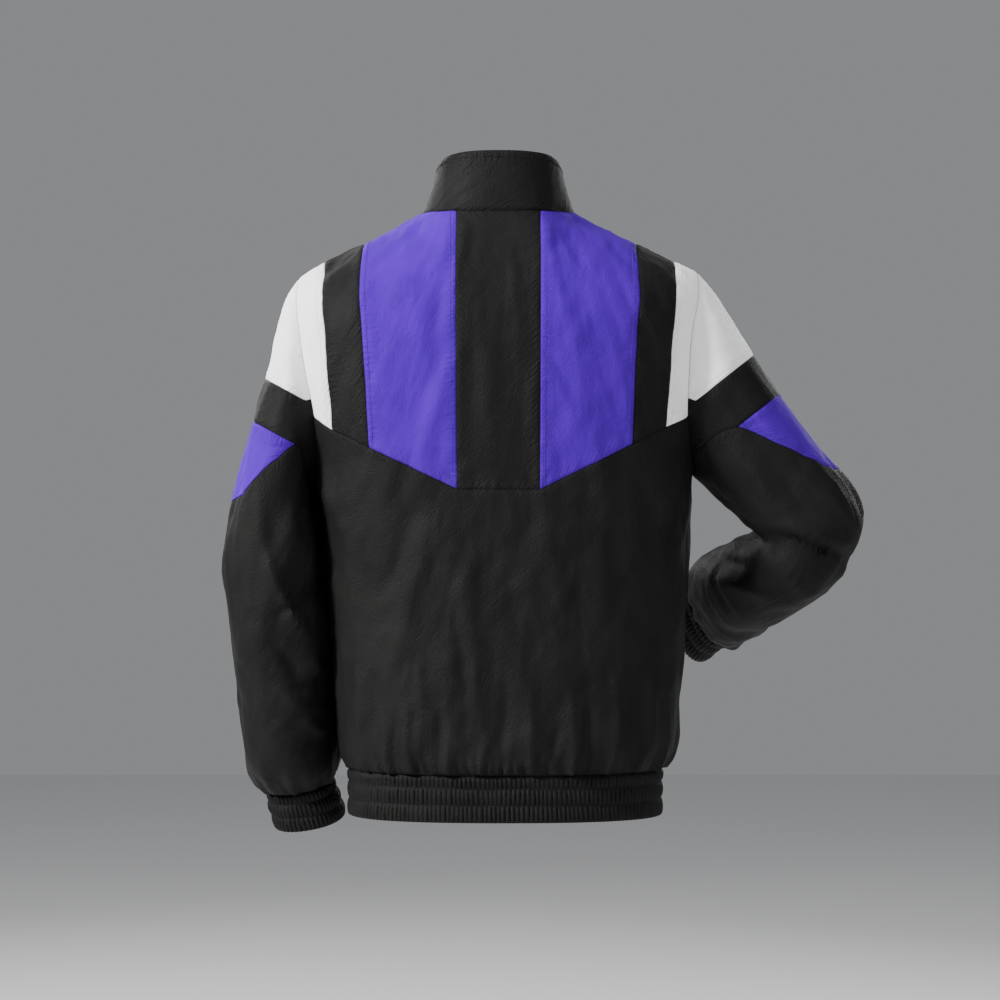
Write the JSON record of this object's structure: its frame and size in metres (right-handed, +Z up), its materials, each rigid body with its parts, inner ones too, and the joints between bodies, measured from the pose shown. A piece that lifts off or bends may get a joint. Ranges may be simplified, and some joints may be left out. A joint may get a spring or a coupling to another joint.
{
  "type": "windbreaker jacket",
  "caption": "Worn-form windbreaker jacket with stand collar, striped back yoke, colour-block sleeves, elastic cuffs and hem, and a front zip.",
  "frame": {"origin": "middle of the neck opening, level with the seam between collar and back", "axes": "+Z up, +Y towards the back of the jacket, +X towards the wearer's left"},
  "size_m": [0.7115, 0.3111, 0.7577],
  "materials": {
    "black_nylon": "black crinkled nylon, soft sheen",
    "purple_nylon": "purple crinkled nylon, soft sheen",
    "white_nylon": "white crinkled nylon, soft sheen",
    "zip_tape": "woven black zip tape",
    "zip_metal": "dark painted die-cast metal"
  },
  "bodies": {
    "jacket": {"back_lower": "black_nylon", "back_yoke_centre": "black_nylon", "back_yoke_purple_left": "purple_nylon", "back_yoke_purple_right": "purple_nylon", "back_yoke_side_left": "black_nylon", "back_yoke_side_right": "black_nylon", "back_yoke_white_left": "white_nylon", "back_yoke_white_right": "white_nylon", "collar": "black_nylon", "cuff_left": "black_nylon", "cuff_right": "black_nylon", "front_lower_left": "black_nylon", "front_lower_right": "black_nylon", "front_yoke_left": "purple_nylon", "front_yoke_right": "purple_nylon", "hem_band": "black_nylon", "sleeve_band_left": "black_nylon", "sleeve_band_right": "black_nylon", "sleeve_cap_left": "white_nylon", "sleeve_cap_right": "white_nylon", "sleeve_kite_left": "purple_nylon", "sleeve_kite_right": "purple_nylon", "sleeve_lower_left": "black_nylon", "sleeve_lower_right": "black_nylon", "zip_slider": "zip_metal", "zip_tape_left": "zip_tape", "zip_tape_right": "zip_tape"},
    "pull_tab": {"zip_pull_tab": "zip_metal"}
  },
  "joints": [
    {"name": "pull_tab_swing", "type": "hinge", "parent": "jacket", "child": "pull_tab", "pos_m": [-0.001, -0.07898, -0.00275], "axis": [-1, 0, 0], "range_deg": [0, 150]}
  ]
}
